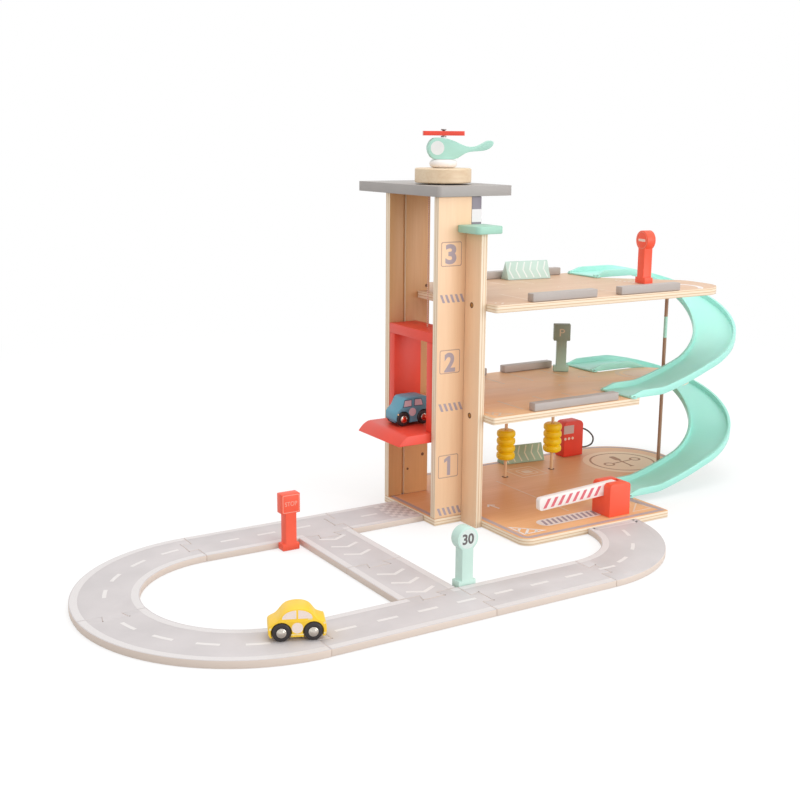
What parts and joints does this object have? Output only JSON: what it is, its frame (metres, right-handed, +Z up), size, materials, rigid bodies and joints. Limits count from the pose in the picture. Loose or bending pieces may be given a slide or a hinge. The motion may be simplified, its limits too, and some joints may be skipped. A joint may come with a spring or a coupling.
{
  "type": "toy parking garage with lift",
  "caption": "Wooden toy parking garage: stacked plywood decks, cord-wound lift cab, moulded spiral ramps, barrier, car wash, pump, helicopter, signs, cars and dovetailed road loop",
  "frame": {"origin": "On the ground at the middle of the lift shaft, on the underside of the base plate", "axes": "+X runs along the garage from the lift towards the ramps, +Y towards the back and away from the barrier, +Z up"},
  "size_m": [0.9926, 0.456, 0.4785],
  "materials": {
    "sage_paint": "satin paint on wood",
    "grey_paint": "satin paint on wood",
    "white_paint": "satin paint on wood",
    "coral_paint": "satin paint on wood",
    "plywood": "clear satin varnish on birch plywood",
    "blue_paint": "satin paint on wood",
    "wheel_plastic": "moulded, matt",
    "red_paint": "satin paint on wood",
    "mint_paint": "satin paint on wood",
    "dark_dowel": "bare hardwood dowel",
    "cord": "twisted cotton cord",
    "hose": "matt elastic cord",
    "mint_plastic": "moulded, smooth satin gloss",
    "steel": "turned screw",
    "road_paint": "matt printed paint on plywood",
    "beech": "clear satin varnish on beech",
    "mustard_paint": "satin paint on wood",
    "yellow_paint": "satin paint on wood"
  },
  "bodies": {
    "garage": {"bar_middle_front": "grey_paint", "bar_middle_rear_left": "grey_paint", "bar_middle_rear_right": "grey_paint", "bar_top_front_left": "grey_paint", "bar_top_front_right": "grey_paint", "bar_top_rear": "grey_paint", "barrier_post": "coral_paint", "base_plate": "plywood", "cap_front": "mint_paint", "cap_rear": "mint_paint", "deck_pole": "dark_dowel", "middle_deck": "plywood", "pump_body": "red_paint", "pump_hose": "hose", "ramp_lower": "mint_plastic", "ramp_upper": "mint_plastic", "roof_plate": "grey_paint", "roof_post": "grey_paint", "support_board_front": "plywood", "support_board_rear": "plywood", "tile_base_curve": "road_paint", "tile_cross_front": "road_paint", "tile_cross_rear": "road_paint", "tile_front_junction": "road_paint", "tile_front_straight": "road_paint", "tile_loop_front": "road_paint", "tile_loop_rear": "road_paint", "tile_rear_junction": "road_paint", "tile_rear_lift": "road_paint", "top_deck": "plywood", "tower_wall_front": "plywood", "tower_wall_rear": "plywood", "wash_dowel_left": "beech", "wash_dowel_right": "beech"},
    "cab": {"cab_platform": "red_paint", "cab_roof": "red_paint", "cab_side_front": "red_paint", "cab_side_rear": "red_paint", "lift_cord": "cord"},
    "knob": {"winding_knob": "beech", "winding_drum": "beech"},
    "helicopter": {"helicopter_pad": "white_paint", "helicopter_body": "mint_paint", "rotor_screw": "steel"},
    "rotor": {"helicopter_rotor": "red_paint"},
    "barrier": {"barrier_arm": "white_paint"},
    "roller_left": {"wash_roller_left": "mustard_paint"},
    "roller_right": {"wash_roller_right": "mustard_paint"},
    "yellow_car": {"yellow_car_body": "yellow_paint"},
    "yellow_wheels_left": {"yellow_car_wheels_left": "wheel_plastic"},
    "yellow_wheels_right": {"yellow_car_wheels_right": "wheel_plastic"},
    "blue_car": {"blue_car_body": "blue_paint"},
    "blue_wheels_left": {"blue_car_wheels_left": "wheel_plastic"},
    "blue_wheels_right": {"blue_car_wheels_right": "wheel_plastic"},
    "stop_sign": {"sign_stop": "coral_paint"},
    "speed_sign": {"sign_speed": "mint_paint"},
    "parking_sign": {"sign_parking": "sage_paint"},
    "no_entry_sign": {"sign_no_entry": "coral_paint"},
    "prism_top": {"arrow_prism_top": "sage_paint"},
    "prism_base": {"arrow_prism_base": "sage_paint"}
  },
  "joints": [
    {"name": "cab_lift", "type": "slide", "parent": "garage", "child": "cab", "axis": [0, 0, 1], "range_m": [-0.094, 0.159], "deforming": ["lift_cord"]},
    {"name": "knob_turn", "type": "hinge", "parent": "garage", "child": "knob", "pos_m": [0.015, 0, 0.42], "axis": [0, 0, 1], "range_deg": [-345, 575]},
    {"name": "helicopter_lift_off", "type": "slide", "parent": "knob", "child": "helicopter", "axis": [0, 0, 1], "range_m": [0, 0.06]},
    {"name": "rotor_spin", "type": "hinge", "parent": "helicopter", "child": "rotor", "pos_m": [0.015, 0, 0.471], "axis": [0, 0, 1], "continuous": true},
    {"name": "barrier_lift", "type": "hinge", "parent": "garage", "child": "barrier", "pos_m": [0.176, -0.1485, 0.0435], "axis": [0, 1, 0], "range_deg": [0, 85]},
    {"name": "roller_left_spin", "type": "hinge", "parent": "garage", "child": "roller_left", "pos_m": [0.1585, 0.0495, 0.055], "axis": [0, 0, 1], "continuous": true},
    {"name": "roller_right_spin", "type": "hinge", "parent": "garage", "child": "roller_right", "pos_m": [0.24, 0.0495, 0.055], "axis": [0, 0, 1], "continuous": true},
    {"name": "yellow_car_roll", "type": "slide", "parent": "garage", "child": "yellow_car", "axis": [0.9205, -0.3907, 0], "range_m": [-0.02, 0.02]},
    {"name": "yellow_wheels_left_turn", "type": "hinge", "parent": "yellow_car", "child": "yellow_wheels_left", "pos_m": [-0.34781, -0.28014, 0.0168], "axis": [0.3907, 0.9205, 0], "range_deg": [-150, 150]},
    {"name": "yellow_wheels_right_turn", "type": "hinge", "parent": "yellow_car", "child": "yellow_wheels_right", "pos_m": [-0.32019, -0.29186, 0.0168], "axis": [0.3907, 0.9205, 0], "range_deg": [-150, 150]},
    {"name": "blue_car_roll", "type": "slide", "parent": "cab", "child": "blue_car", "axis": [1, 0, 0], "range_m": [-0.012, 0.004]},
    {"name": "blue_wheels_left_turn", "type": "hinge", "parent": "blue_car", "child": "blue_wheels_left", "pos_m": [-0.0408, 0.01, 0.1253], "axis": [0, 1, 0], "range_deg": [-110, 50]},
    {"name": "blue_wheels_right_turn", "type": "hinge", "parent": "blue_car", "child": "blue_wheels_right", "pos_m": [-0.0108, 0.01, 0.1253], "axis": [0, 1, 0], "range_deg": [-110, 50]},
    {"name": "stop_sign_lift_off", "type": "slide", "parent": "garage", "child": "stop_sign", "axis": [0, 0, 1], "range_m": [0, 0.05]},
    {"name": "speed_sign_lift_off", "type": "slide", "parent": "garage", "child": "speed_sign", "axis": [0, 0, 1], "range_m": [0, 0.05]},
    {"name": "parking_sign_lift_off", "type": "slide", "parent": "garage", "child": "parking_sign", "axis": [0, 0, 1], "range_m": [0, 0.04]},
    {"name": "no_entry_sign_lift_off", "type": "slide", "parent": "garage", "child": "no_entry_sign", "axis": [0, 0, 1], "range_m": [0, 0.05]},
    {"name": "prism_top_lift_off", "type": "slide", "parent": "garage", "child": "prism_top", "axis": [0, 0, 1], "range_m": [0, 0.05]},
    {"name": "prism_base_lift_off", "type": "slide", "parent": "garage", "child": "prism_base", "axis": [0, 0, 1], "range_m": [0, 0.05]}
  ],
  "couplings": [
    {"joint": "knob_turn", "follows": "cab_lift", "rad_per_m": 62.112},
    {"joint": "yellow_wheels_left_turn", "follows": "yellow_car_roll", "rad_per_m": 111.11},
    {"joint": "blue_wheels_left_turn", "follows": "blue_car_roll", "rad_per_m": 111.11},
    {"joint": "yellow_wheels_right_turn", "follows": "yellow_car_roll", "rad_per_m": 111.11},
    {"joint": "blue_wheels_right_turn", "follows": "blue_car_roll", "rad_per_m": 111.11}
  ]
}
